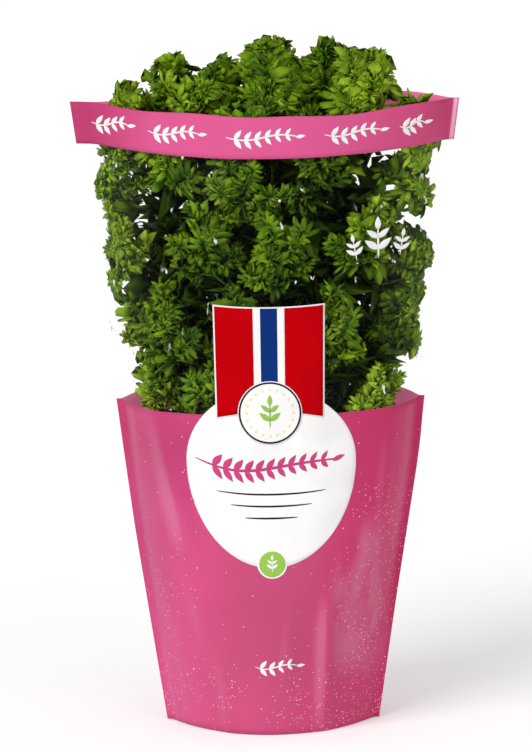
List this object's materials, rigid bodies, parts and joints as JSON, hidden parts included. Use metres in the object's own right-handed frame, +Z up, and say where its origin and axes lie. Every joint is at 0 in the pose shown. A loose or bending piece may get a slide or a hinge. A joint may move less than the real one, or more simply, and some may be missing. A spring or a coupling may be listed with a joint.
{
  "type": "potted herb in film sleeve",
  "caption": "Curly parsley growing in a tapered nursery pot inside a tapered film sleeve with an opaque skirt, a clear window and an opaque band round its mouth.",
  "frame": {"origin": "centre of the pot's flat foot, on the floor", "axes": "+Z up along the pot's axis, -Y towards the sleeve's front panel, +X to the right along the sleeve's flat width"},
  "size_m": [0.1928, 0.1094, 0.3453],
  "materials": {
    "pot": "thermoformed, slightly dull",
    "soil": "moist peat, crumbly",
    "printed_film": "pink printed packaging film, satin gloss",
    "clear_film": "clear packaging film",
    "leaf": "fresh green leaf, slightly waxy"
  },
  "bodies": {
    "root": {"nursery_pot": "pot", "soil": "soil", "sleeve_skirt": "printed_film", "sleeve_window": "clear_film", "sleeve_band": "printed_film", "frond_01": "leaf", "frond_02": "leaf", "frond_03": "leaf", "frond_04": "leaf", "frond_05": "leaf", "frond_06": "leaf", "frond_07": "leaf", "frond_08": "leaf", "frond_09": "leaf", "frond_10": "leaf", "frond_11": "leaf", "frond_12": "leaf", "frond_13": "leaf", "frond_14": "leaf", "frond_15": "leaf", "frond_16": "leaf", "frond_17": "leaf", "frond_18": "leaf", "frond_19": "leaf", "frond_20": "leaf", "frond_21": "leaf", "frond_22": "leaf", "frond_23": "leaf", "frond_24": "leaf", "frond_25": "leaf", "frond_26": "leaf", "frond_27": "leaf", "frond_28": "leaf", "frond_29": "leaf", "frond_30": "leaf", "frond_31": "leaf", "frond_32": "leaf", "frond_33": "leaf", "frond_34": "leaf", "frond_35": "leaf", "frond_36": "leaf", "frond_37": "leaf", "frond_38": "leaf", "frond_39": "leaf", "frond_40": "leaf", "frond_41": "leaf", "frond_42": "leaf", "frond_43": "leaf", "frond_44": "leaf", "frond_45": "leaf", "frond_46": "leaf", "frond_47": "leaf", "frond_48": "leaf", "frond_49": "leaf", "frond_50": "leaf", "frond_51": "leaf"}
  },
  "joints": []
}
